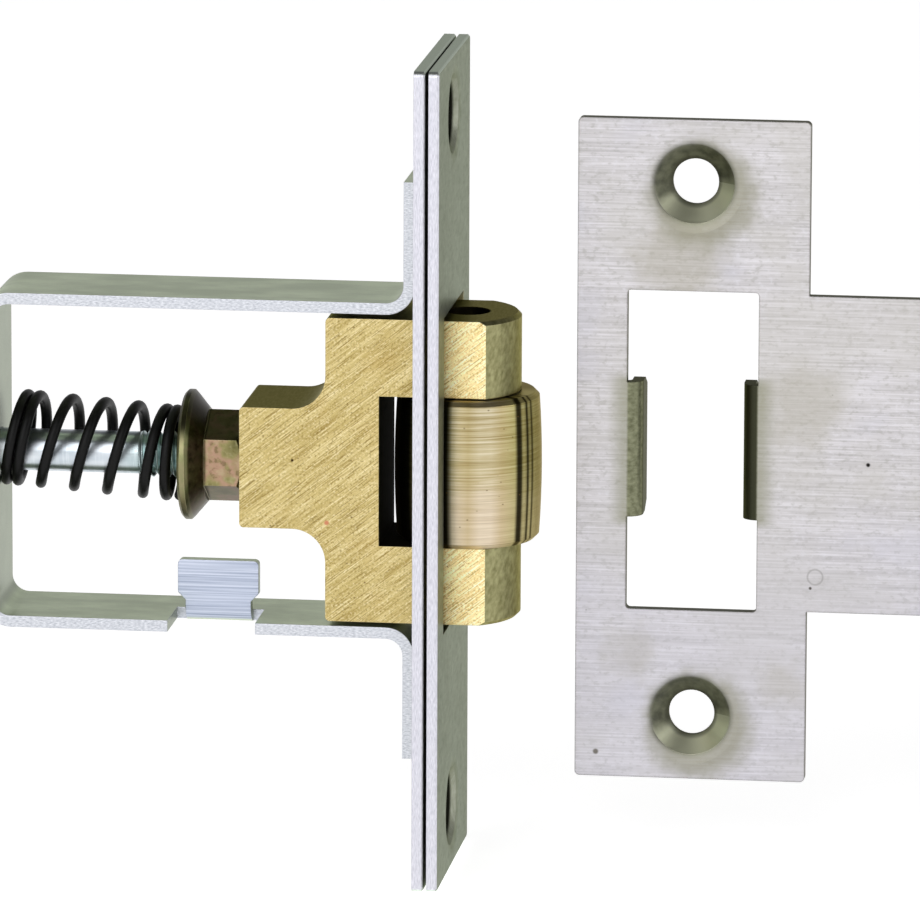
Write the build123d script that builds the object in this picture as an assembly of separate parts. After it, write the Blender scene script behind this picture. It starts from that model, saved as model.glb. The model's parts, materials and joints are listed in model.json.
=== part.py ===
"""Roller catch with its strike plate, laid out as a set. Sizes are in millimetres.

X points out of the door edge, Z runs up the forend and Y runs across the door.
X = 0 is the seat: the rear face of the inner forend plate.
"""
import os
from math import cos, pi, sin, sqrt

from build123d import *

# forend plates
forend_width = 25.0
forend_height = 86.0
inner_sheet = 1.2
outer_sheet = 1.1
plate_gap = 0.35
plate_corner = 0.6
plate_ease = 0.18
screw_inset = 6.3

# pressed countersinks, shared by the outer plate and the strike
screw_hole_r = 2.4
sink_ring_r = 4.2
sink_halo_r = 5.2
halo_drop = 0.15
sink_depth = 1.75
land_length = 0.6

# bolt block and roller
bolt_thick = 12.0
bolt_height = 32.0
neck_height = 12.7
shoulder_fillet = 3.5
bolt_corner = 0.45
shoulder_x = -9.95
neck_length = 9.0
nose_radius = 7.56
nose_front = 9.7
nose_ease = 0.4
roller_d = 15.3
roller_length = 15.5
roller_crown = 0.25
roller_ease = 0.5
roller_x = 4.2
pin_d = 4.5
pin_recess = 0.9
roller_end_gap = 0.15
roller_side_gap = 0.25
roller_back_gap = 0.9
pin_run_gap = 0.05

# strap
strap_sheet = 1.2
strap_width = 12.0
guide_gap = 0.5
slot_end_gap = 0.7
back_x = -44.85
bend_inside = 1.8
foot_screw_gap = 6.3
weld_gap = 0.65
weld_d = 3.2
weld_spread = 6.0

# stop tab, lanced from the near half of the lower arm
bolt_travel = 7.5
stop_gap = 0.2
tab_length = 8.5
tab_height = 5.5
tab_bend = 0.6
tab_back_y = 0.1
tab_slit = 0.35
tab_relief = 0.8

# spindle, nut and spring
shank_d = 4.4
thread_d = 5.0
thread_in_bolt = 7.0
thread_behind_nut = 4.4
spindle_slide_gap = 0.1
head_d = 8.6
head_height = 3.2
driver_slot = 1.2
driver_depth = 1.5
hex_flats = 8.4
hex_length = 4.0
flange_d = 13.6
flange_rim = 1.1
flange_cone = 1.4
flange_ease = 0.3
wire_d = 1.15
spring_od = 10.1
end_pitch = 1.16
rear_turns = 1.5
front_turns = 1.5
open_turns = 4
rear_offset = 1.4
rear_lean = 0.17
lean_rate = 3.0
wire_sides = 6

# strike plate
strike_sheet = 1.2
strike_width = 24.2
strike_height = 70.0
strike_x = 26.9
strike_y = 6.0
strike_z = 0.6
strike_corner = 0.5
aperture_width = 13.7
aperture_end_gap = 0.95
aperture_corner = 0.4
ear_length = 14.3
ear_show = 1.6
ear_depth = 5.0
ear_taper = 0.9
strike_inset = 6.75
lip_height = 33.5
lip_flat = 11.5
lip_radius = 7.0
lip_curl = 45.0

# sizes that follow from the ones above
screw_spacing = forend_height - 2 * screw_inset
outer_back = inner_sheet + plate_gap
outer_face = outer_back + outer_sheet
slot_width = roller_d + 2 * roller_side_gap
slot_height = bolt_height + 2 * slot_end_gap
arm_inside = bolt_height / 2 + guide_gap
arm_outside = arm_inside + strap_sheet
foot_end = screw_spacing / 2 - foot_screw_gap
neck_rear = shoulder_x - neck_length
nut_rear = neck_rear - hex_length - flange_cone - flange_rim
back_outside = back_x - strap_sheet
fork_height = roller_length + 2 * roller_end_gap
fork_floor = roller_x - roller_d / 2 - roller_back_gap
tab_front = shoulder_x - bolt_travel - stop_gap
strike_spacing = strike_height - 2 * strike_inset
aperture_height = bolt_height + 2 * aperture_end_gap


def span(x0, x1, y0, y1, z0, z1):
    """A box given by its limits."""
    centre = ((x0 + x1) / 2, (y0 + y1) / 2, (z0 + z1) / 2)
    return Pos(*centre) * Box(abs(x1 - x0), abs(y1 - y0), abs(z1 - z0))


def rod_x(radius, x0, x1):
    """A cylinder along X on the spindle's axis."""
    return Pos((x0 + x1) / 2, 0, 0) * Rot(0, 90, 0) * Cylinder(radius, abs(x1 - x0))


def turned(points, axis):
    """A turned solid: points are (along the axis, radius) in the XY plane."""
    return revolve(make_face(Polyline(*points, close=True)), axis, 360)


def edges_near(solid, axis, spots, hide):
    """The edges along one axis whose middles are nearest to the given spots, with one coordinate hidden."""
    found = []
    for spot in spots:
        def away(edge):
            middle = edge.center()
            gap = Vector(middle.X - spot[0], middle.Y - spot[1], middle.Z - spot[2])
            return Vector(gap.X * (hide != "x"), gap.Y * (hide != "y"), gap.Z * (hide != "z")).length
        found.append(min(solid.edges().filter_by(axis), key=away))
    return found


def sink_radius(depth, sheet):
    """Radius of the back of a pressed countersink at a depth below the face."""
    slope = (sink_ring_r - screw_hole_r) / (sink_depth - halo_drop)
    return sink_ring_r - slope * (depth - 0.9 * sheet - halo_drop)


def press_sink(plate, spot, sheet):
    """Press a countersink into a plate whose face is at the spot and looks along +X of that location."""
    bottom = sink_depth + land_length
    boss = [
        (-sheet / 2, 0),
        (-sheet / 2, sink_radius(sheet, sheet)),
        (-sheet, sink_radius(sheet, sheet)),
        (-bottom, sink_radius(bottom, sheet)),
        (-bottom, 0),
    ]
    cut = [
        (1, 0),
        (1, sink_halo_r),
        (0, sink_halo_r),
        (-halo_drop, sink_ring_r),
        (-sink_depth, screw_hole_r),
        (-bottom - 1, screw_hole_r),
        (-bottom - 1, 0),
    ]
    return plate + spot * turned(boss, Axis.X) - spot * turned(cut, Axis.X)


def forend_blank(x0, x1):
    """A plate across the door edge with the bolt's slot in it and its corners eased."""
    half_w, half_h = forend_width / 2, forend_height / 2
    plate = span(x0, x1, -half_w, half_w, -half_h, half_h)
    plate = fillet(plate.edges().filter_by(Axis.X), plate_corner)
    plate = chamfer(plate.faces().sort_by(Axis.X)[-1].edges(), plate_ease)
    slot_w, slot_h = slot_width / 2, slot_height / 2
    return plate - span(x0 - 1, x1 + 1, -slot_w, slot_w, -slot_h, slot_h)


def make_outer_forend():
    plate = forend_blank(outer_back, outer_face)
    for side in (-1, 1):
        plate = press_sink(plate, Pos(outer_face, 0, side * screw_spacing / 2), outer_sheet)
    return plate


def make_inner_forend():
    plate = forend_blank(0, inner_sheet)
    # the pressed countersinks of the outer plate rest on the rims of these holes
    hole_r = sink_radius(outer_sheet + plate_gap, outer_sheet)
    for side in (-1, 1):
        plate -= Pos(0, 0, side * screw_spacing / 2) * rod_x(hole_r, -1, inner_sheet + 1)
    return plate


def make_case_strap():
    half = strap_width / 2
    foot_rear = -weld_gap - strap_sheet
    strap = span(back_outside, -weld_gap, -half, half, -arm_outside, arm_outside)
    for side in (-1, 1):
        strap += span(foot_rear, -weld_gap, -half, half, side * arm_inside, side * foot_end)
    strap -= span(back_x, 1, -half - 1, half + 1, -arm_inside, arm_inside)
    inner_bends, outer_bends = [], []
    for side in (-1, 1):
        inner_bends.append((back_x, 0, side * arm_inside))
        inner_bends.append((foot_rear, 0, side * arm_outside))
        outer_bends.append((back_outside, 0, side * arm_outside))
        outer_bends.append((-weld_gap, 0, side * arm_inside))
    strap = fillet(edges_near(strap, Axis.Y, inner_bends, "y"), bend_inside)
    strap = fillet(edges_near(strap, Axis.Y, outer_bends, "y"), bend_inside + strap_sheet)
    strap -= rod_x(shank_d / 2 + spindle_slide_gap, back_outside - 1, back_x + 1)
    return strap - tab_window(half) + stop_tab() + foot_welds()


def foot_welds():
    """The welded projections that hold the feet just off the inner plate, two on each foot."""
    weld_z = (arm_outside + foot_end + bend_inside) / 2
    spots = [(y, z) for y in (-weld_spread / 2, weld_spread / 2) for z in (-weld_z, weld_z)]
    return [Pos(0, y, z) * rod_x(weld_d / 2, -weld_gap - strap_sheet / 2, 0) for y, z in spots]


def tab_window(half):
    """The opening that the stop tab leaves in the lower arm."""
    x0 = tab_front - tab_length - tab_slit
    x1 = tab_front + tab_slit
    return span(x0, x1, -half - 1, tab_back_y + tab_bend, -arm_outside - 1, -arm_inside + 0.3)


def stop_tab():
    """The lanced tab: a narrow bend out of the arm, then an upright of full width."""
    outside = tab_bend + strap_sheet
    bend_y = tab_back_y + tab_bend
    bend_z = -arm_inside + tab_bend
    x0, x1 = tab_front - tab_length, tab_front
    profile = Plane.YZ.offset(x0 + tab_relief) * Pos(bend_y, bend_z) * (Circle(outside) - Circle(tab_bend))
    bend = extrude(profile, x1 - x0 - 2 * tab_relief)
    bend &= span(x0, x1, bend_y - outside - 1, bend_y, bend_z - outside - 1, bend_z)
    neck_top = bend_z + 0.3 * tab_height
    neck = span(x0 + tab_relief, x1 - tab_relief, tab_back_y - strap_sheet, tab_back_y, bend_z, neck_top)
    upright = span(x0, x1, tab_back_y - strap_sheet, tab_back_y, bend_z + 0.6, tab_height - arm_inside)
    corners = [(x0, 0, tab_height - arm_inside), (x1, 0, tab_height - arm_inside)]
    upright = fillet(edges_near(upright, Axis.Y, corners, "y"), 0.5)
    corners = [(x0, 0, bend_z + 0.6), (x1, 0, bend_z + 0.6)]
    upright = chamfer(edges_near(upright, Axis.Y, corners, "y"), tab_relief)
    return bend + neck + upright


def make_bolt_block():
    half_t, half_h, half_n = bolt_thick / 2, bolt_height / 2, neck_height / 2
    nose_x = nose_front - nose_radius
    nose = Pos(nose_x, 0, 0) * Cylinder(nose_radius, bolt_height)
    nose &= span(nose_x, nose_front + 1, -half_t, half_t, -half_h, half_h)
    nose = chamfer(nose.edges().filter_by(GeomType.CIRCLE), nose_ease)
    block = span(shoulder_x, nose_x, -half_t, half_t, -half_h, half_h)
    block += span(neck_rear, shoulder_x, -half_t, half_t, -half_n, half_n)
    roots, corners = [], []
    for side in (-1, 1):
        roots.append((shoulder_x, 0, side * half_n))
        corners.append((shoulder_x, 0, side * half_h))
        corners.append((neck_rear, 0, side * half_n))
    block = fillet(edges_near(block, Axis.Y, roots, "y"), shoulder_fillet)
    block = fillet(edges_near(block, Axis.Y, corners, "y"), bolt_corner)
    block += nose
    half_f = fork_height / 2
    block -= span(fork_floor, nose_front + 1, -half_t - 1, half_t + 1, -half_f, half_f)
    block -= Pos(roller_x, 0, 0) * Cylinder(pin_d / 2, bolt_height + 2)
    return block - rod_x(thread_d / 2, neck_rear - 1, neck_rear + thread_in_bolt + 1)


def make_roller():
    # turned about Z: a crowned barrel with eased ends
    r, half = roller_d / 2, roller_length / 2
    bore = pin_d / 2 + pin_run_gap
    end_r = r - roller_crown
    barrel = ThreePointArc((end_r, -half + roller_ease), (r, 0), (end_r, half - roller_ease))
    rest = Polyline(
        (end_r, half - roller_ease),
        (end_r - roller_ease, half),
        (bore, half),
        (bore, -half),
        (end_r - roller_ease, -half),
        (end_r, -half + roller_ease),
    )
    section = Plane.XZ * make_face([barrel, *rest.edges()])
    return Pos(roller_x, 0, 0) * revolve(section, Axis.Z, 360)


def make_roller_pin():
    length = bolt_height - 2 * pin_recess
    pin = Cylinder(pin_d / 2, length)
    pin = chamfer(pin.edges().filter_by(GeomType.CIRCLE), 0.3)
    return Pos(roller_x, 0, 0) * pin


def make_adjusting_spindle():
    thread_rear = nut_rear - thread_behind_nut
    tip = neck_rear + thread_in_bolt
    shank_r, thread_r, head_r = shank_d / 2, thread_d / 2, head_d / 2
    step = thread_r - shank_r
    head_rear = back_outside - head_height
    points = [
        (head_rear, 0),
        (head_rear, head_r - 0.4),
        (head_rear + 0.4, head_r),
        (back_outside, head_r),
        (back_outside, shank_r),
        (thread_rear - step, shank_r),
        (thread_rear, thread_r),
        (tip - 0.8, thread_r),
        (tip, thread_r - 0.8),
        (tip, 0),
    ]
    half = driver_slot / 2
    slot = span(head_rear - 1, head_rear + driver_depth, -half, half, -head_d, head_d)
    return turned(points, Axis.X) - slot


def make_flange_nut():
    corner_r = hex_flats / sqrt(3)
    rim_front = nut_rear + flange_rim
    cone_front = rim_front + flange_cone
    flange = [
        (nut_rear, 0),
        (nut_rear, flange_d / 2 - flange_ease),
        (nut_rear + flange_ease, flange_d / 2),
        (rim_front - flange_ease, flange_d / 2),
        (rim_front, flange_d / 2 - flange_ease),
        (cone_front, corner_r),
        (cone_front, 0),
    ]
    # a hexagon with a flat towards the viewer, its front corners turned to a bevel
    hexagon = Plane.YZ.offset(rim_front) * RegularPolygon(corner_r, 6, rotation=30)
    prism = extrude(hexagon, neck_rear - rim_front)
    bevel = [
        (rim_front, 0),
        (rim_front, corner_r + 1),
        (neck_rear - 0.8, corner_r + 0.3),
        (neck_rear, hex_flats / 2 - 0.1),
        (neck_rear, 0),
    ]
    prism &= turned(bevel, Axis.X)
    nut = turned(flange, Axis.X) + prism
    return nut - rod_x(thread_d / 2, nut_rear - 1, neck_rear + 1)


def make_spring():
    # half turns, each a piece of a ring from the bottom of one coil to its top or back down
    mean_r = (spring_od - wire_d) / 2
    first = back_x + wire_d / 2 + rear_lean * mean_r
    last = nut_rear - wire_d / 2 - 0.02
    closed = end_pitch * (rear_turns + front_turns)
    open_pitch = (last - first - closed) / open_turns
    halves = [end_pitch / 2] * round(2 * rear_turns)
    halves += [open_pitch / 2] * round(2 * open_turns)
    halves += [end_pitch / 2] * round(2 * front_turns)
    x, side = first, -1
    flats = RegularPolygon(wire_d / 2, wire_sides, major_radius=False, rotation=180 / wire_sides)
    section = Plane(coil_point(x, side, mean_r), x_dir=(1, 0, 0), z_dir=(0, 1, 0)) * flats
    faces = [section.faces()[0]]
    for step in halves:
        start = coil_point(x, side, mean_r)
        end = coil_point(x + step, -side, mean_r)
        axis = Axis((start + end) / 2, (end - start).cross(Vector(0, -side, 0)))
        half = revolve(section, axis, 180)
        faces += [face for face in half.faces() if abs(face.center().Y) > 0.001]
        section = section.rotate(axis, 180)
        x, side = x + step, -side
    faces.append(section.faces()[0])
    return Solid(Shell(faces))


def coil_point(x, side, mean_r):
    """A point at the top or bottom of a coil: the spring's rear end rides high and leans."""
    share = max(0, (nut_rear - x) / (nut_rear - back_x))
    lean = rear_lean * min(1, lean_rate * share) * side * mean_r
    return Vector(x + lean, 0, side * mean_r + rear_offset * share)


def make_strike_plate():
    half_w, half_h = strike_width / 2, strike_height / 2
    plate = span(-half_w, half_w, 0, strike_sheet, -half_h, half_h)
    plate = fillet(plate.edges().filter_by(Axis.Y), strike_corner)
    half_l = lip_height / 2
    lip_end = half_w + lip_flat
    plate += span(half_w - 1, lip_end, 0, strike_sheet, -half_l, half_l)
    plate += lip_end_curl(lip_end, half_l)
    half_a, half_b = aperture_width / 2, aperture_height / 2
    hole = span(-half_a, half_a, -1, strike_sheet + 1, -half_b, half_b)
    plate -= fillet(hole.edges().filter_by(Axis.Y), aperture_corner)
    for side in (-1, 1):
        plate += bent_ear(side)
        spot = Pos(0, 0, side * strike_spacing / 2) * Rot(0, 0, -90)
        plate = press_sink(plate, spot, strike_sheet)
    return Pos(strike_x, strike_y, strike_z) * plate


def lip_end_curl(lip_end, half_l):
    """The lip's end, curled back towards the jamb."""
    ring = Circle(lip_radius) - Circle(lip_radius - strike_sheet)
    curl = Pos(lip_end, lip_radius, -half_l) * extrude(ring, 2 * half_l)
    turn = lip_curl * pi / 180
    reach = 2 * lip_radius
    wedge = Polyline(
        (lip_end, lip_radius),
        (lip_end, lip_radius - reach),
        (lip_end + reach * sin(turn), lip_radius - reach * cos(turn)),
        close=True,
    )
    return curl & (Pos(0, 0, -half_l) * extrude(make_face(wedge), 2 * half_l))


def bent_ear(side):
    """An ear bent back from one long side of the aperture, tapered at its ends."""
    edge = aperture_width / 2
    half = ear_length / 2
    ring = Circle(ear_show) - Circle(ear_show - strike_sheet)
    bend = Pos(edge, ear_show, -half) * extrude(ring, ear_length)
    bend &= span(edge - ear_show, edge, 0, ear_show, -half, half)
    leaf = span(edge - ear_show, edge - ear_show + strike_sheet, ear_show, ear_depth, -half, half)
    tips = [(0, ear_depth, -half), (0, ear_depth, half)]
    leaf = chamfer(edges_near(leaf, Axis.X, tips, "x"), ear_taper, 2 * ear_taper)
    ear = bend + leaf
    return ear if side > 0 else mirror(ear, Plane.YZ)


pieces = {
    "outer_forend": make_outer_forend(),
    "inner_forend": make_inner_forend(),
    "case_strap": make_case_strap(),
    "bolt_block": make_bolt_block(),
    "roller": make_roller(),
    "roller_pin": make_roller_pin(),
    "adjusting_spindle": make_adjusting_spindle(),
    "flange_nut": make_flange_nut(),
    "spring": make_spring(),
    "strike_plate": make_strike_plate(),
}

os.makedirs("parts", exist_ok=True)
for name, piece in pieces.items():
    export_step(piece, f"parts/{name}.step")
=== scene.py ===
import json
import math

import bpy
from mathutils import Matrix, Vector


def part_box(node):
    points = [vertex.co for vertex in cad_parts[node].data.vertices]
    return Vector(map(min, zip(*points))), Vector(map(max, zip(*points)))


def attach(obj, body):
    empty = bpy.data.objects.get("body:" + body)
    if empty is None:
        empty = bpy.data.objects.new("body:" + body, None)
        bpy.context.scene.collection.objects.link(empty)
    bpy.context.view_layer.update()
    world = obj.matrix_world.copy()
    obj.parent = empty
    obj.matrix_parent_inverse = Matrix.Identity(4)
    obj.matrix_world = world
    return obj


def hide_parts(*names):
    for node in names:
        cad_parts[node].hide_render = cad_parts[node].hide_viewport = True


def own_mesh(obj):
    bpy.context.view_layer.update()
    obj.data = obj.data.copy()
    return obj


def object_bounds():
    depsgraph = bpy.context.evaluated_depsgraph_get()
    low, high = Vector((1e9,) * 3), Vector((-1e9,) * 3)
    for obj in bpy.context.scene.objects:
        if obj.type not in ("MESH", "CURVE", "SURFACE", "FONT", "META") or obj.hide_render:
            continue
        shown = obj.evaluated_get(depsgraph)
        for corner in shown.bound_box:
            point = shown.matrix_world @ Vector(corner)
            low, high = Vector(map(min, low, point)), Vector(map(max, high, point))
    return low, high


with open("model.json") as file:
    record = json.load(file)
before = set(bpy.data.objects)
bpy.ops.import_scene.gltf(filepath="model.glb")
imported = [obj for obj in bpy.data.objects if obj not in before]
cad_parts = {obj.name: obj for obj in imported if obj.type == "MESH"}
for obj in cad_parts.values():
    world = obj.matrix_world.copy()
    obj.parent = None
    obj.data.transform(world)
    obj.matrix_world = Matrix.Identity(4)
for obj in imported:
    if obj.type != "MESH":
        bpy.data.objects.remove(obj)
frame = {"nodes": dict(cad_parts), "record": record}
cad_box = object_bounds()
nodes = frame["nodes"]
MM = 0.001
WHITE = (1, 1, 1, 1)
ACROSS = {"X": (0, 1, 1), "Y": (1, 0, 1), "Z": (1, 1, 0)}

# places and sizes that the looks and the finer pieces follow, in millimetres of the part's frame
mounts = {mount["name"]: mount for mount in frame["record"]["mounts"]}
joints = {joint["name"]: joint for joint in frame["record"]["behaviour"]["joints"]}
screw_hole_r = mounts["forend_screws"]["dims"]["hole_r_mm"]
forend_screw_z = mounts["forend_screws"]["dims"]["spacing_y_mm"] / 2
forend_face_x, forend_edge_y, forend_end_z = (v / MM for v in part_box("outer_forend")[1])
strike_screw_z = mounts["strike_screws"]["dims"]["spacing_y_mm"] / 2
strike_x = mounts["strike_screws"]["pos_m"][0] / MM
strike_z = mounts["strike_screws"]["pos_m"][2] / MM
strike_face_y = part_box("strike_plate")[0].y / MM
block_face_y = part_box("bolt_block")[0].y / MM
roller_x = joints["roller_spin"]["pos_m"][0] / MM
case_back_x = joints["bolt_slide"]["deforming_nodes"][0]["fixed_end_x_m"] / MM
nut_rear_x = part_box("flange_nut")[0].x / MM
rim_front_x = nut_rear_x + 1.1
cone_front_x = rim_front_x + 1.4
pin_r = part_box("roller_pin")[1].y / MM
fork_floor_x, fork_half_z = -4.35, 7.9
fork_daylight_x = 2.4
tab_middle_y = -0.5
aperture_half_x = 6.85


def tone(r, g, b):
    """A colour given on the 0 to 255 scale, as linear light."""
    out = []
    for value in (r, g, b):
        v = value / 255
        out.append(v / 12.92 if v <= 0.04045 else ((v + 0.055) / 1.055) ** 2.4)
    return (*out, 1.0)


class Paint:
    """One material and short ways to wire its nodes. Places are in millimetres of the part's frame."""

    def __init__(self, name, metallic=1.0, roughness=0.4):
        self.material = bpy.data.materials.new(name)
        self.material.use_nodes = True
        self.tree = self.material.node_tree
        self.shader = self.tree.nodes["Principled BSDF"]
        self.shader.inputs["Metallic"].default_value = metallic
        self.shader.inputs["Roughness"].default_value = roughness
        coords = self.add("ShaderNodeTexCoord").outputs["Object"]
        self.place = self.vector("SCALE", coords, scale=1 / MM)

    def add(self, kind):
        return self.tree.nodes.new(kind)

    def feed(self, socket, value):
        if isinstance(value, bpy.types.NodeSocket):
            self.tree.links.new(value, socket)
        else:
            socket.default_value = value

    def vector(self, operation, a, b=None, scale=None):
        node = self.add("ShaderNodeVectorMath")
        node.operation = operation
        self.feed(node.inputs[0], a)
        if b is not None:
            self.feed(node.inputs[1], b)
        if scale is not None:
            node.inputs["Scale"].default_value = scale
        return node.outputs["Value" if operation in ("DISTANCE", "DOT_PRODUCT") else "Vector"]

    def math(self, operation, a, b=0.0, clamp=False):
        node = self.add("ShaderNodeMath")
        node.operation = operation
        node.use_clamp = clamp
        self.feed(node.inputs[0], a)
        self.feed(node.inputs[1], b)
        return node.outputs[0]

    def both(self, a, b):
        """A mask that is 1 only where both of two masks are."""
        return self.math("MULTIPLY", a, b)

    def axis(self, name):
        node = self.add("ShaderNodeSeparateXYZ")
        self.feed(node.inputs[0], self.place)
        return node.outputs[name]

    def off(self, name, centre=0.0):
        """Distance from a centre along one axis, either way."""
        return self.math("ABSOLUTE", self.math("SUBTRACT", self.axis(name), centre))

    def from_line(self, axis, point):
        """Distance from the line along an axis through a point."""
        flat = self.vector("MULTIPLY", self.place, ACROSS[axis])
        return self.vector("DISTANCE", flat, point)

    def noise(self, density, stretch=(1, 1, 1), turn=(0, 0, 0), detail=2.0, shift=(0, 0, 0)):
        """Noise with about density cells to a millimetre along each stretched axis, turned in degrees."""
        turned = self.add("ShaderNodeMapping")
        turned.inputs["Rotation"].default_value = [math.radians(t) for t in turn]
        turned.inputs["Location"].default_value = shift
        self.feed(turned.inputs["Vector"], self.place)
        stretched = self.vector("MULTIPLY", turned.outputs[0], stretch)
        node = self.add("ShaderNodeTexNoise")
        node.inputs["Scale"].default_value = density
        node.inputs["Detail"].default_value = detail
        self.feed(node.inputs["Vector"], stretched)
        return node.outputs[0]

    def specks(self, density, size, stretch=(1, 1, 1), shift=(0, 0, 0)):
        """Round spots thinly strewn, 1 at their middle and 0 outside size millimetres."""
        node = self.add("ShaderNodeTexVoronoi")
        node.inputs["Scale"].default_value = density
        moved = self.vector("ADD", self.place, shift)
        self.feed(node.inputs["Vector"], self.vector("MULTIPLY", moved, stretch))
        return self.band(node.outputs["Distance"], size * density, 0.0)

    def band(self, value, start, end):
        """Smooth step from 0 at start to 1 at end."""
        node = self.add("ShaderNodeMapRange")
        node.interpolation_type = "SMOOTHSTEP"
        self.feed(node.inputs["Value"], value)
        node.inputs["From Min"].default_value = start
        node.inputs["From Max"].default_value = end
        return node.outputs[0]

    def ramp(self, value, *stops):
        node = self.add("ShaderNodeValToRGB")
        line = node.color_ramp
        while len(line.elements) < len(stops):
            line.elements.new(0.5)
        for element, (at, colour) in zip(line.elements, stops):
            element.position = at
            element.color = colour
        self.feed(node.inputs[0], value)
        return node.outputs[0]

    def mix(self, share, a, b, way="MIX"):
        node = self.add("ShaderNodeMix")
        node.data_type = "RGBA"
        node.blend_type = way
        node.clamp_factor = True
        self.feed(node.inputs[0], share)
        self.feed(node.inputs[6], a)
        self.feed(node.inputs[7], b)
        return node.outputs[2]

    def stain(self, body, mask, share, colour):
        """The body's colour with another laid over it, by a share where mask is 1."""
        return self.mix(self.math("MULTIPLY", mask, share), body, colour)

    def blot(self, body, at, size, colour):
        """The body's colour with one round spot on it."""
        spot = self.band(self.vector("DISTANCE", self.place, at), size, size * 0.4)
        return self.mix(spot, body, colour)

    def normal(self):
        return self.add("ShaderNodeNewGeometry").outputs["Normal"]

    def facing(self, direction):
        """How far the surface faces a direction of the part, from -1 to 1."""
        return self.vector("DOT_PRODUCT", self.normal(), direction)

    def along(self, direction):
        """How far the surface faces a direction or its opposite, from 0 to 1."""
        return self.math("ABSOLUTE", self.facing(direction))

    def rounded(self, radius):
        """The surface's normal, with edges rounded over radius millimetres."""
        node = self.add("ShaderNodeBevel")
        node.samples = 6
        node.inputs["Radius"].default_value = radius * MM
        return node.outputs[0]

    def edges(self, radius):
        """1 along sharp edges and 0 on open faces, over radius millimetres."""
        return self.band(self.vector("DOT_PRODUCT", self.rounded(radius), self.normal()), 0.995, 0.8)

    def colour(self, value):
        self.feed(self.shader.inputs["Base Color"], value)

    def rough(self, value, low, high, matt=None):
        """Roughness from low to high, and fully rough where matt is 1."""
        node = self.add("ShaderNodeMapRange")
        self.feed(node.inputs["Value"], value)
        node.inputs["To Min"].default_value = low
        node.inputs["To Max"].default_value = high
        level = node.outputs[0]
        if matt is not None:
            level = self.math("MAXIMUM", level, matt)
        self.feed(self.shader.inputs["Roughness"], level)

    def grazing(self, r, g, b):
        """Share of the shine kept where the surface is seen almost edge on."""
        self.shader.inputs["Specular Tint"].default_value = (r, g, b, 1.0)

    def bump(self, height, depth, strength=1.0, soft_edge=0.0):
        """Relief of about depth millimetres, with edges rounded over soft_edge millimetres."""
        node = self.add("ShaderNodeBump")
        node.inputs["Strength"].default_value = strength
        node.inputs["Distance"].default_value = depth * MM
        self.feed(node.inputs["Height"], height)
        if soft_edge:
            self.feed(node.inputs["Normal"], self.rounded(soft_edge))
        self.feed(self.shader.inputs["Normal"], node.outputs[0])


def satin_plate():
    """Forend plates: dull satin plating on the faces, bright cut edges with a painted highlight on the
    ends and edges, olive countersinks with painted shade in the holes and deep in the cones.
    """
    p = Paint("satin_plate", roughness=0.36)
    grain = p.noise(1.6, (1, 5, 0.3), detail=5)
    cloud = p.noise(0.16, (1, 1, 0.5), detail=3)
    mottle = p.noise(1.8, (1, 0.4, 1), detail=3, shift=(2, 5, 1))
    cut = p.noise(2.4, (4, 4, 0.6), detail=4)
    peel = p.noise(2.4, (1, 0.3, 1), detail=4)
    face = p.ramp(grain, (0.3, tone(144, 149, 138)), (0.7, tone(184, 188, 178)))
    face = p.stain(face, p.band(cloud, 0.42, 0.62), 0.35, tone(158, 161, 150))
    face = p.stain(face, p.band(mottle, 0.52, 0.7), 0.35, tone(196, 200, 188))
    face = p.stain(face, p.band(mottle, 0.48, 0.3), 0.35, tone(116, 121, 108))
    # near black for the painted shade in the screw holes and deep in the countersinks
    sink_shade = tone(22, 22, 18)
    pressed = p.band(p.math("SUBTRACT", forend_face_x, p.axis("X")), 0.5, 0.8)
    for side in (-1, 1):
        away = p.from_line("X", (0, 0, side * forend_screw_z))
        past_hole = p.math("SUBTRACT", away, screw_hole_r)
        face = p.stain(face, p.band(past_hole, 3.2, 1.2), 0.5, tone(140, 142, 116))
        # painted shade: each screw hole and the deep part of its countersink are painted near black
        face = p.mix(p.band(past_hole, 0.5, 0.05), face, sink_shade)
        face = p.mix(p.both(p.band(past_hole, 1.8, 1.6), pressed), face, sink_shade)
    at_edge = p.band(p.off("Y"), forend_edge_y - 1.0, forend_edge_y - 0.5)
    at_end = p.band(p.off("Z"), forend_end_z - 1.0, forend_end_z - 0.5)
    long_cut = p.both(p.band(p.along((0, 1, 0)), 0.4, 0.75), at_edge)
    lit_end_cut = p.both(p.band(p.along((0, 0, 1)), 0.4, 0.75), at_end)
    body = p.mix(long_cut, face, p.ramp(cut, (0.3, tone(196, 196, 206)), (0.7, tone(234, 233, 242))))
    # bare cut ends, with their tone raised further as a painted highlight
    body = p.mix(lit_end_cut, body, p.ramp(cut, (0.35, tone(222, 232, 222)), (0.65, tone(244, 250, 244))))
    # painted highlight along the sharp edges
    body = p.stain(body, p.edges(0.14), 0.35, tone(236, 236, 240))
    p.colour(body)
    p.grazing(0.44, 0.47, 0.38)
    p.rough(grain, low=0.3, high=0.46)
    p.bump(peel, depth=0.02, strength=0.6, soft_edge=0.12)
    return p


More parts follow.
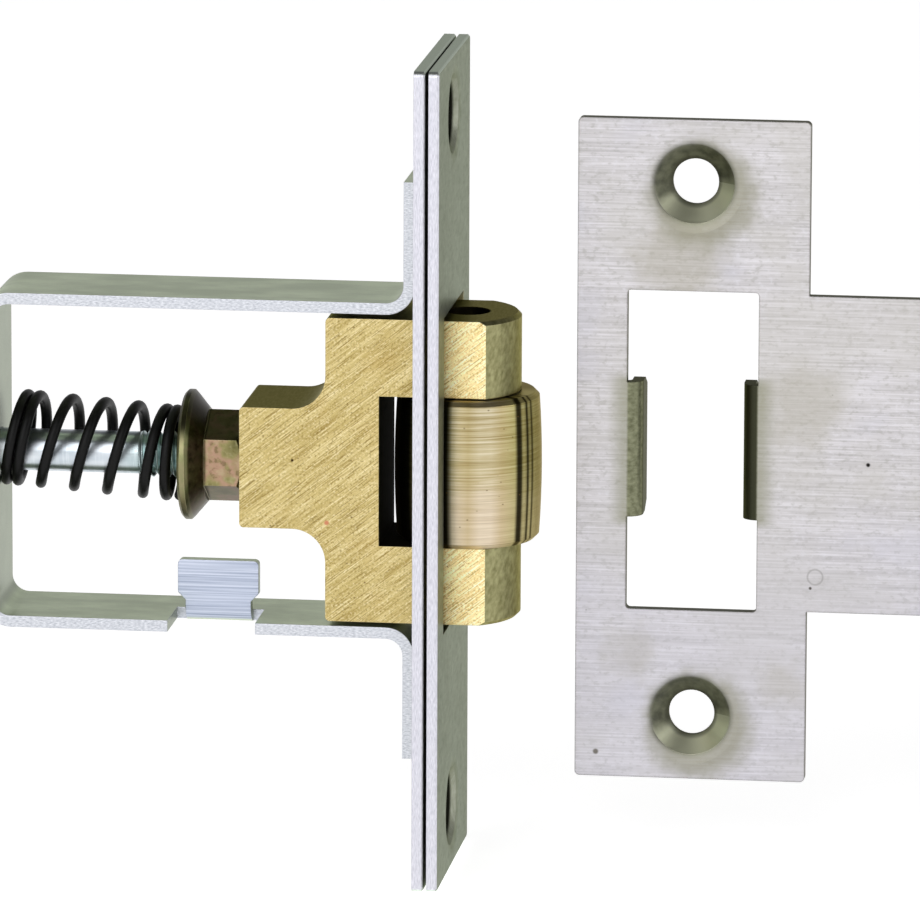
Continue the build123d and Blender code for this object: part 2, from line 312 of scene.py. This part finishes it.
def zinc_strap():
    """Zinc plated strip: dull greenish faces, painted shade on the faces turned along X, bright bluish
    cut edges, a pale lanced tab and a painted highlight along the edges.
    """
    p = Paint("zinc_strap", roughness=0.38)
    cloud = p.noise(0.3, (0.5, 1, 1), detail=4)
    fine = p.noise(7.0, (0.4, 1, 1), detail=4)
    drawn = p.noise(1.0, (0.05, 1, 5.0), detail=3)
    face = p.ramp(cloud, (0.35, tone(190, 203, 170)), (0.65, tone(217, 230, 196)))
    # painted shade: faces turned along X are darker
    face = p.stain(face, p.band(p.along((1, 0, 0)), 0.4, 0.9), 0.85, tone(138, 145, 128))
    face = p.stain(face, p.band(fine, 0.5, 0.7), 0.3, tone(204, 210, 192))
    side = p.ramp(fine, (0.3, tone(178, 182, 190)), (0.7, tone(234, 236, 242)))
    low, middle, high = tone(150, 160, 182), tone(190, 198, 216), tone(216, 222, 238)
    tab = p.ramp(drawn, (0.3, low), (0.5, middle), (0.7, high))
    side = p.mix(p.band(p.off("Y", tab_middle_y), 1.3, 1.0), side, tab)
    body = p.mix(p.band(p.along((0, 1, 0)), 0.4, 0.75), face, side)
    # painted highlight along the sharp edges
    body = p.stain(body, p.edges(0.16), 0.4, tone(232, 234, 240))
    p.colour(body)
    p.rough(fine, low=0.3, high=0.48)
    p.bump(fine, depth=0.006, strength=0.4, soft_edge=0.14)
    return p


def sawn_brass():
    """Brass bar: slanting linished scratches on the broad faces, dull brown sides with painted shade on
    their tops, painted highlights on the cheeks and edges, and painted shade, black, in the fork and
    round the pin.
    """
    p = Paint("sawn_brass", roughness=0.36)
    slant, cross_slant, side_slant = (0, 38, 0), (0, 24, 0), (25, 0, 0)
    coarse = p.noise(1.0, (0.09, 1, 2.2), slant, detail=4)
    hair = p.noise(1.0, (0.3, 1, 9.0), slant, detail=3, shift=(7, 0, 3))
    cross = p.noise(1.0, (0.25, 1, 7.0), cross_slant, detail=3, shift=(2, 0, 9))
    grit = p.noise(4.5, detail=4)
    cloud = p.noise(0.16, detail=3)
    blotch = p.noise(1.0, (2, 2, 1.2), side_slant, detail=5)
    low, middle, high = tone(176, 154, 92), tone(204, 184, 122), tone(226, 208, 152)
    face = p.ramp(coarse, (0.28, low), (0.5, middle), (0.72, high))
    face = p.stain(face, p.band(hair, 0.52, 0.7), 0.85, tone(240, 225, 178))
    face = p.stain(face, p.band(hair, 0.48, 0.3), 0.95, tone(134, 112, 56))
    face = p.stain(face, p.band(cross, 0.56, 0.72), 0.4, tone(236, 218, 166))
    face = p.stain(face, p.band(grit, 0.47, 0.3), 0.75, tone(134, 112, 58))
    face = p.stain(face, p.band(grit, 0.54, 0.7), 0.6, tone(244, 232, 190))
    face = p.stain(face, p.band(cloud, 0.5, 0.7), 0.2, tone(190, 158, 92))
    face = p.mix(p.specks(0.6, 0.15), face, tone(104, 80, 40))
    face = p.blot(face, (-13.4, block_face_y, 0.9), 0.2, tone(58, 40, 24))
    face = p.blot(face, (-9.8, block_face_y, -5.6), 0.34, tone(206, 138, 104))
    # painted light: the cheeks' faces are brightened
    lit_cheeks = p.band(p.axis("X"), 0.5, 2.0)
    face = p.mix(lit_cheeks, face, (0.41, 0.41, 0.5, 1), "DODGE")
    dull = p.ramp(blotch, (0.3, tone(126, 123, 84)), (0.7, tone(169, 166, 123)))
    # painted shade: faces turned upwards are darker
    dull = p.stain(dull, p.band(p.facing((0, 0, 1)), 0.6, 0.9), 0.8, tone(56, 52, 28))
    broad = p.band(p.along((0, 1, 0)), 0.9, 0.97)
    body = p.mix(broad, dull, face)
    # painted highlight along the sharp edges
    body = p.stain(body, p.edges(0.14), 0.4, tone(238, 226, 180))
    # painted shade: the walls and floor inside the fork are painted near black, matt and not metallic
    past_floor = p.band(p.axis("X"), fork_floor_x - 0.35, fork_floor_x - 0.15)
    in_depth = p.both(past_floor, p.band(p.axis("X"), fork_daylight_x, fork_daylight_x - 1.4))
    in_height = p.band(p.off("Z"), fork_half_z + 0.1, fork_half_z)
    fork_shade = p.both(p.both(in_depth, in_height), p.math("SUBTRACT", 1.0, broad))
    body = p.stain(body, fork_shade, 0.97, tone(14, 12, 8))
    # painted shade: a dark ring round the pin
    from_pin = p.from_line("Z", (roller_x, 0, 0))
    body = p.mix(p.band(from_pin, pin_r + 0.15, pin_r + 0.05), body, tone(30, 26, 16))
    p.colour(body)
    p.feed(p.shader.inputs["Metallic"], p.math("SUBTRACT", 1.0, fork_shade))
    p.shader.inputs["Specular IOR Level"].default_value = 0.05
    p.grazing(0.75, 0.7, 0.42)
    p.rough(hair, low=0.3, high=0.48, matt=fork_shade)
    p.bump(hair, depth=0.008, strength=0.5, soft_edge=0.14)
    return p


def turned_brass():
    """Brass roller: fine rings from turning, a pale lower half, and long streaks of painted reflection,
    highlight and shade round it.
    """
    p = Paint("turned_brass", roughness=0.34)
    rings = p.noise(1.0, (0.1, 0.1, 7.0), detail=4)
    wide = p.noise(1.0, (0.25, 0.25, 1.6), detail=3, shift=(3, 1, 0))
    low, middle, high = tone(168, 150, 104), tone(208, 194, 156), tone(230, 219, 190)
    body = p.ramp(rings, (0.3, low), (0.5, middle), (0.7, high))
    body = p.stain(body, p.band(wide, 0.5, 0.7), 0.35, tone(182, 160, 110))
    height = p.math("ADD", p.axis("Z"), p.math("MULTIPLY", wide, 6.0))
    body = p.stain(body, p.band(height, 4.0, -1.0), 0.5, tone(236, 218, 202))
    # painted reflections, highlights and shade: long dark, olive, green and white streaks set by the
    # angle about the roller's axis
    outwards = p.math("SUBTRACT", p.axis("X"), roller_x)
    nearer = p.math("MULTIPLY", p.axis("Y"), -1.0)
    angle = p.math("ARCTAN2", outwards, nearer)
    turn = p.math("ADD", p.math("DIVIDE", angle, 2 * math.pi), 0.5)
    plain, green = (0.8, 0.76, 0.62, 1), (0.66, 0.68, 0.45, 1)
    olive, dark = (0.3, 0.3, 0.17, 1), (0.03, 0.03, 0.02, 1)
    streaks_of_light_and_shade = p.ramp(
        turn,
        (0.0, plain), (0.2, olive), (0.31, olive), (0.335, dark), (0.37, dark), (0.39, olive),
        (0.44, plain), (0.45, dark), (0.475, dark), (0.485, WHITE), (0.52, plain), (0.545, WHITE),
        (0.57, WHITE), (0.595, plain), (0.629, green), (0.637, dark), (0.648, dark), (0.654, green),
        (0.663, green), (0.667, dark), (0.671, dark), (0.675, green), (0.682, green), (0.685, dark),
        (0.688, dark), (0.693, green), (0.74, green), (0.8, olive), (1.0, plain),
    )
    body = p.mix(1.0, body, streaks_of_light_and_shade, "MULTIPLY")
    pits = p.specks(0.7, 0.17, (1, 1, 1.6), (1, 4, 2))
    body = p.mix(pits, body, tone(96, 74, 38))
    p.colour(body)
    p.grazing(0.8, 0.72, 0.5)
    p.rough(rings, low=0.28, high=0.44)
    p.bump(rings, depth=0.005, strength=0.5, soft_edge=0.2)
    return p


def bright_zinc():
    """Spindle: bright bluish zinc, teal towards the thread."""
    p = Paint("bright_zinc", roughness=0.3)
    cloud = p.noise(0.5, (0.4, 1, 1), detail=3)
    spun = p.noise(1.0, (6, 0.3, 0.3), detail=2)
    body = p.ramp(cloud, (0.35, tone(196, 206, 214)), (0.65, tone(230, 236, 242)))
    near_thread = p.band(p.axis("X"), nut_rear_x - 8.05, nut_rear_x - 2.55)
    body = p.stain(body, near_thread, 0.6, tone(150, 186, 176))
    body = p.stain(body, p.band(spun, 0.5, 0.7), 0.35, tone(240, 246, 250))
    p.colour(body)
    p.rough(cloud, low=0.24, high=0.36)
    p.bump(spun, depth=0.004, strength=0.5, soft_edge=0.1)
    return p


def passivated():
    """Flange nut: yellow passivation, from olive through straw to pink, brown on its cone, painted shade
    on faces turned up or down and a painted highlight along the edges.
    """
    p = Paint("passivated", roughness=0.3)
    film = p.noise(0.3, detail=3, shift=(1, 0, 2))
    fine = p.noise(1.6, detail=4, shift=(4, 2, 1))
    olive, straw, pink = tone(96, 94, 56), tone(146, 138, 92), tone(176, 142, 120)
    body = p.ramp(film, (0.32, olive), (0.45, straw), (0.55, pink), (0.62, straw), (0.72, olive))
    body = p.stain(body, p.band(fine, 0.5, 0.7), 0.35, tone(188, 180, 140))
    body = p.stain(body, p.band(fine, 0.46, 0.3), 0.5, tone(84, 74, 38))
    on_rim = p.band(p.axis("X"), rim_front_x + 0.25, rim_front_x - 0.05)
    body = p.stain(body, on_rim, 0.75, tone(136, 140, 101))
    past_rim = p.band(p.axis("X"), rim_front_x - 0.05, rim_front_x + 0.15)
    on_cone = p.both(past_rim, p.band(p.axis("X"), cone_front_x + 0.35, cone_front_x + 0.05))
    body = p.stain(body, on_cone, 0.8, p.ramp(fine, (0.35, tone(30, 28, 16)), (0.65, tone(66, 62, 36))))
    # painted shade: faces turned up, and less so faces turned down, are darker
    upward = p.facing((0, 0, 1))
    body = p.stain(body, p.band(upward, 0.3, 0.6), 0.85, tone(36, 30, 20))
    body = p.stain(body, p.band(upward, -0.3, -0.6), 0.6, tone(70, 58, 34))
    # painted highlight along the sharp edges
    body = p.stain(body, p.edges(0.12), 0.5, tone(232, 224, 176))
    p.colour(body)
    p.rough(fine, low=0.24, high=0.42)
    p.bump(fine, depth=0.008, strength=0.4, soft_edge=0.14)
    return p


def black_spring():
    """Oiled black spring wire with faint drawing lines."""
    p = Paint("black_spring", metallic=0.0, roughness=0.42)
    fine = p.noise(3.0, detail=3)
    p.colour(p.ramp(fine, (0.35, tone(3, 3, 3)), (0.65, tone(12, 12, 12))))
    p.shader.inputs["Specular IOR Level"].default_value = 0.2
    p.rough(fine, low=0.36, high=0.52)
    p.bump(fine, depth=0.01, strength=0.4)
    return p


def brushed_strike():
    """Strike: satin plate brushed along X, dark countersinks with painted light and shade in and around
    them, olive ears, and painted shade on its thin sides and edges.
    """
    p = Paint("brushed_strike", roughness=0.4)
    lines = p.noise(1.0, (0.12, 0.6, 6.0), detail=4)
    broad = p.noise(1.0, (0.03, 0.5, 1.2), detail=3, shift=(5, 0, 2))
    mottle = p.noise(2.6, (0.6, 1, 1), detail=4, shift=(1, 3, 2))
    cloud = p.noise(0.09, detail=3)
    low, middle, high = tone(186, 183, 184), tone(206, 203, 205), tone(224, 221, 225)
    body = p.ramp(lines, (0.28, low), (0.5, middle), (0.72, high))
    body = p.stain(body, p.band(broad, 0.5, 0.72), 0.3, tone(186, 183, 182))
    body = p.stain(body, p.band(mottle, 0.47, 0.3), 0.42, tone(164, 162, 157))
    body = p.stain(body, p.band(mottle, 0.56, 0.72), 0.4, tone(226, 224, 230))
    body = p.stain(body, p.band(cloud, 0.45, 0.62), 0.35, tone(194, 191, 184))
    body = p.stain(body, p.band(cloud, 0.45, 0.3), 0.3, tone(198, 197, 210))
    body = p.stain(body, p.specks(0.25, 0.14, shift=(3, 0, 5)), 0.7, tone(110, 106, 100))
    body = p.stain(body, p.band(p.axis("Z"), strike_z + 1.4, strike_z - 24.6), 0.3, tone(196, 195, 210))
    body = strike_tarnish(p, body)
    body = strike_sinks(p, body)
    body = strike_ears(p, body, mottle)
    # painted shade: the plate's thin side faces, not turned along Y, are darkened
    body = p.stain(body, p.band(p.along((0, 1, 0)), 0.4, 0.2), 0.75, tone(84, 82, 74))
    # painted shade: dark outlines along the sharp edges
    body = p.stain(body, p.edges(0.3), 0.6, tone(74, 74, 62))
    body = strike_marks(p, body)
    p.colour(body)
    p.grazing(0.5, 0.51, 0.42)
    p.rough(lines, low=0.34, high=0.48)
    p.bump(lines, depth=0.005, strength=0.5, soft_edge=0.1)
    return p


def strike_tarnish(p, body):
    """Olive clouds on the strike's face, with ragged edges."""
    ragged = p.math("MULTIPLY", p.noise(0.35, detail=4), 6.0)
    for x, z, radius, share in (
        (25.5, 20.5, 6.5, 0.5),
        (38.5, 6.0, 6.0, 0.35),
        (20.5, -21.0, 4.5, 0.35),
        (36.5, -24.0, 4.0, 0.3),
    ):
        away = p.math("ADD", p.from_line("Y", (x, 0, z)), ragged)
        body = p.stain(body, p.band(away, radius + 3.0, radius - 1.0), share, tone(168, 163, 146))
    return body


def strike_sinks(p, body):
    """Dark countersinks with a painted highlight on the lower slope, painted shade in the holes, and
    painted shade below and to the right of each.
    """
    ragged = p.math("MULTIPLY", p.noise(0.5, detail=3), 2.4)
    # painted highlight: the countersink slope turned upwards is pale
    lit_slope = p.band(p.facing((-0.3, 0, 0.95)), 0.0, 0.45)
    for side in (-1, 1):
        z = strike_z + side * strike_screw_z
        # painted shade: a soft darker halo below and to the right of each countersink
        shoulder_shade = p.math("ADD", p.from_line("Y", (strike_x + 0.9, 0, z - 1.1)), ragged)
        body = p.stain(body, p.band(shoulder_shade, 8.2, 5.2), 0.75, tone(146, 144, 124))
        spotty = p.noise(0.9, detail=4, shift=(side, 0, 3))
        # dark spotty countersink tone, with the painted highlight laid on the lower slope
        sink_tone_and_highlight = p.ramp(spotty, (0.35, tone(64, 66, 52)), (0.65, tone(100, 102, 84)))
        sink_tone_and_highlight = p.mix(lit_slope, sink_tone_and_highlight, tone(226, 228, 198))
        past_hole = p.math("SUBTRACT", p.from_line("Y", (strike_x, 0, z)), screw_hole_r)
        body = p.stain(body, p.band(past_hole, 2.4, 1.5), 0.9, sink_tone_and_highlight)
        # painted shade: the screw holes are darkened
        body = p.stain(body, p.band(past_hole, 0.5, 0.1), 0.6, tone(70, 70, 60))
    return body


def strike_ears(p, body, mottle):
    """Olive ears, the right one darkened by painted shade, and painted shade on the plate beside each."""
    across = p.off("X", strike_x)
    beside = p.band(p.off("Z", strike_z), 8.4, 7.2)
    # painted shade on the plate beside each ear
    body = p.stain(body, p.both(p.band(across, 9.2, 7.0), beside), 0.6, tone(136, 136, 108))
    ear = p.both(p.band(across, aperture_half_x + 0.1, aperture_half_x - 0.2), beside)
    body = p.mix(ear, body, p.ramp(mottle, (0.3, tone(106, 108, 84)), (0.7, tone(144, 146, 119))))
    # painted shade: the right ear is darker
    right = p.band(p.axis("X"), strike_x + 0.6, strike_x + 4.1)
    return p.mix(p.both(ear, right), body, tone(60, 61, 47))


def strike_marks(p, body):
    """Three small dents and a faint ring on the strike's face."""
    for x, z, size, colour in (
        (45.3, -0.3, 0.3, tone(40, 38, 36)),
        (39.4, -13.6, 0.22, tone(96, 92, 88)),
        (17.0, -31.8, 0.4, tone(120, 116, 110)),
    ):
        body = p.blot(body, (x, strike_face_y, z), size, colour)
    ring_x, ring_z, ring_r = 39.9, -12.4, 0.8
    off_ring = p.math("SUBTRACT", p.from_line("Y", (ring_x, 0, ring_z)), ring_r)
    return p.stain(body, p.band(p.math("ABSOLUTE", off_ring), 0.14, 0.04), 0.4, tone(130, 128, 124))


def wear(node, paint):
    """Gives a CAD node its material."""
    thing = nodes[node]
    if not thing.material_slots:
        thing.data.materials.append(None)
    for slot in thing.material_slots:
        slot.material = paint.material


def add_object(name, data):
    """A new object in the scene."""
    thing = bpy.data.objects.new(name, data)
    bpy.context.scene.collection.objects.link(thing)
    return thing


def tube(name, rings, paint):
    """A smooth tube with flat ends, through rings of points in millimetres."""
    around = len(rings[0])
    last = (len(rings) - 1) * around
    faces = []
    for start in range(0, last, around):
        for k in range(around):
            m = (k + 1) % around
            faces.append((start + k, start + m, start + around + m, start + around + k))
    ends = [tuple(reversed(range(around))), tuple(range(last, last + around))]
    mesh = bpy.data.meshes.new(name)
    mesh.from_pydata([Vector(point) * MM for ring in rings for point in ring], [], faces + ends)
    mesh.polygons.foreach_set("use_smooth", [True] * len(faces) + [False] * len(ends))
    mesh.update()
    mesh.materials.append(paint.material)
    return add_object(name, mesh)


# the spring: closed turns at both ends, open ones between, leaning and riding high at the back
wire_r, coil_r = 0.575, 4.475
closed_turns, open_turns, closed_pitch = 1.5, 4.0, 1.16
coil_turns = 2 * closed_turns + open_turns
rear_lean, lean_rate, rear_rise = 0.17, 3, 1.4
coil_start_x = case_back_x + wire_r + rear_lean * coil_r
coil_end_x = nut_rear_x - wire_r - 0.02
open_pitch = (coil_end_x - coil_start_x - 2 * closed_turns * closed_pitch) / open_turns


def coil_centre(turns):
    """The spring wire's centre line, in millimetres, as its turns go by from the back of the case."""
    if turns < closed_turns:
        x = coil_start_x + closed_pitch * turns
    elif turns < coil_turns - closed_turns:
        x = coil_start_x + closed_pitch * closed_turns + open_pitch * (turns - closed_turns)
    else:
        x = coil_end_x - closed_pitch * (coil_turns - turns)
    share = (nut_rear_x - x) / (nut_rear_x - case_back_x)
    angle = 2 * math.pi * turns
    up = -math.cos(angle)
    lean = rear_lean * min(1, lean_rate * share) * up * coil_r
    return Vector((x + lean, -math.sin(angle) * coil_r, up * coil_r + rear_rise * share))


def eased(line, reach):
    """A line of points with X averaged over reach neighbours each way, to soften changes of pitch."""
    out = []
    for i, point in enumerate(line):
        x = point.x
        if reach <= i < len(line) - reach:
            near = line[i - reach:i + reach + 1]
            x = sum(other.x for other in near) / len(near)
        out.append(Vector((x, point.y, point.z)))
    return out


def spring_piece(paint):
    """A smooth round-wire coil in the place of the flat-sided CAD spring."""
    per_turn, around, ease_reach = 56, 14, 5
    steps = int(coil_turns * per_turn)
    line = eased([coil_centre(coil_turns * i / steps) for i in range(steps + 1)], ease_reach)
    rings = []
    for i, centre in enumerate(line):
        ahead = (line[min(i + 1, steps)] - line[max(i - 1, 0)]).normalized()
        side = ahead.cross(Vector((0, centre.y, centre.z))).normalized()
        out = side.cross(ahead).normalized()
        angles = [2 * math.pi * k / around for k in range(around)]
        rings.append([centre + wire_r * (math.cos(a) * out + math.sin(a) * side) for a in angles])
    return tube("spring_wire", rings, paint)


def spindle_pieces(paint):
    """The spindle with a cut thread behind the nut, in the place of the plain CAD cylinder."""
    shank_r, crest_r, root_r, core_r = 2.2, 2.5, 2.05, 1.9
    pitch, run_in = 0.8, 0.5
    rear, front = nut_rear_x - 4.7, nut_rear_x + 1.45
    core_from = rear + 0.15
    core = add_object("spindle_core", nodes["adjusting_spindle"].data.copy())
    for vertex in core.data.vertices:
        out = math.hypot(vertex.co.y, vertex.co.z)
        if vertex.co.x > core_from * MM and out > core_r * MM:
            vertex.co.y *= core_r * MM / out
            vertex.co.z *= core_r * MM / out
    core.data.materials.clear()
    core.data.materials.append(paint.material)
    around, steps = 48, 92
    rings = []
    for i in range(steps + 1):
        along = (front - rear) * i / steps
        cut = min(1, along / run_in)
        ring = []
        for k in range(around):
            phase = (along / pitch - k / around) % 1
            flank = min(1, max(0, 1.3 * abs(2 * phase - 1) - 0.15))
            r = shank_r + cut * (root_r + (crest_r - root_r) * flank - shank_r)
            angle = 2 * math.pi * k / around
            ring.append((rear + along, r * math.cos(angle), r * math.sin(angle)))
        rings.append(ring)
    return core, tube("spindle_thread", rings, paint)


plate = satin_plate()
strap = zinc_strap()
zinc = bright_zinc()
oiled = black_spring()
wear("outer_forend", plate)
wear("inner_forend", plate)
wear("case_strap", strap)
wear("roller_pin", strap)
wear("bolt_block", sawn_brass())
wear("roller", turned_brass())
wear("adjusting_spindle", zinc)
wear("flange_nut", passivated())
wear("strike_plate", brushed_strike())
wear("spring", oiled)

wire = spring_piece(oiled)
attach(wire, "case")
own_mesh(wire)
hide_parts("spring")

core, thread = spindle_pieces(zinc)
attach(core, "bolt")
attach(thread, "bolt")
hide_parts("adjusting_spindle")


def pale_floor():
    """White paper that glows only for the camera and in reflections, so it keeps a shadow."""
    half, gap, glow = 6.0, 0.0005, 0.76
    p = Paint("floor_paper", metallic=0.0, roughness=0.9)
    p.colour(tone(226, 226, 226))
    p.shader.inputs["Emission Color"].default_value = WHITE
    path = p.add("ShaderNodeLightPath").outputs
    seen = p.math("ADD", path["Is Camera Ray"], path["Is Glossy Ray"])
    seen = p.math("ADD", seen, path["Is Transmission Ray"], clamp=True)
    p.feed(p.shader.inputs["Emission Strength"], p.math("MULTIPLY", seen, glow))
    z = cad_box[0][2] - gap
    corners = [(-half, -half, z), (half, -half, z), (half, half, z), (-half, half, z)]
    mesh = bpy.data.meshes.new("floor")
    mesh.from_pydata(corners, [], [(0, 1, 2, 3)])
    mesh.materials.append(p.material)
    floor = add_object("floor", mesh)


def studio_sky():
    """Soft light that is brightest near the horizon and dim overhead."""
    strength, levels = 0.68, ((0.0, 0.9), (0.3, 1.0), (0.55, 0.3), (1.0, 0.06))
    world = bpy.data.worlds.new("studio")
    bpy.context.scene.world = world
    world.use_nodes = True
    tree = world.node_tree
    coords = tree.nodes.new("ShaderNodeTexCoord")
    parts = tree.nodes.new("ShaderNodeSeparateXYZ")
    tree.links.new(coords.outputs["Generated"], parts.inputs[0])
    ramp = tree.nodes.new("ShaderNodeValToRGB")
    line = ramp.color_ramp
    while len(line.elements) < len(levels):
        line.elements.new(0.5)
    for element, (at, level) in zip(line.elements, levels):
        element.position = at
        element.color = (level, level, level * 1.01, 1)
    tree.links.new(parts.outputs["Z"], ramp.inputs[0])
    tree.links.new(ramp.outputs[0], tree.nodes["Background"].inputs["Color"])
    tree.nodes["Background"].inputs["Strength"].default_value = strength


def softbox(name, place, size, power):
    """A square lamp in metres and watts, aimed at the origin."""
    lamp = bpy.data.lights.new(name, "AREA")
    lamp.shape = "SQUARE"
    lamp.size = size
    lamp.energy = power
    thing = add_object(name, lamp)
    thing.location = place
    thing.rotation_euler = (-Vector(place)).to_track_quat("-Z", "Y").to_euler()


def photo_camera():
    """The camera at the photo's angle, in degrees, aimed at the middle of the photo, in millimetres."""
    azimuth, elevation, roll = (math.radians(v) for v in (7.3, 11.73, 0.217))
    aim, distance, lens, sensor = (3.33, 0, 0.206), 1.05, 395.85, 36
    back = Vector((
        math.sin(azimuth) * math.cos(elevation),
        -math.cos(azimuth) * math.cos(elevation),
        math.sin(elevation),
    ))
    right = Vector((math.cos(azimuth), math.sin(azimuth), 0))
    up = back.cross(right)
    turned_right = math.cos(roll) * right + math.sin(roll) * up
    turned_up = math.cos(roll) * up - math.sin(roll) * right
    data = bpy.data.cameras.new("photo_camera")
    data.sensor_width = sensor
    data.lens = lens
    data.clip_start = 0.05
    data.clip_end = 60
    thing = add_object("photo_camera", data)
    pose = Matrix((turned_right, turned_up, back)).transposed().to_4x4()
    pose.translation = Vector(aim) * MM + back * distance
    thing.matrix_world = pose
    bpy.context.scene.camera = thing


pale_floor()
studio_sky()
softbox("key", (-0.35, -1.0, 0.6), size=1.0, power=5.5)
softbox("side", (1.0, -0.25, 0.35), size=0.5, power=1.5)
photo_camera()
bpy.context.scene.view_settings.view_transform = "Standard"

bpy.context.view_layer.update()
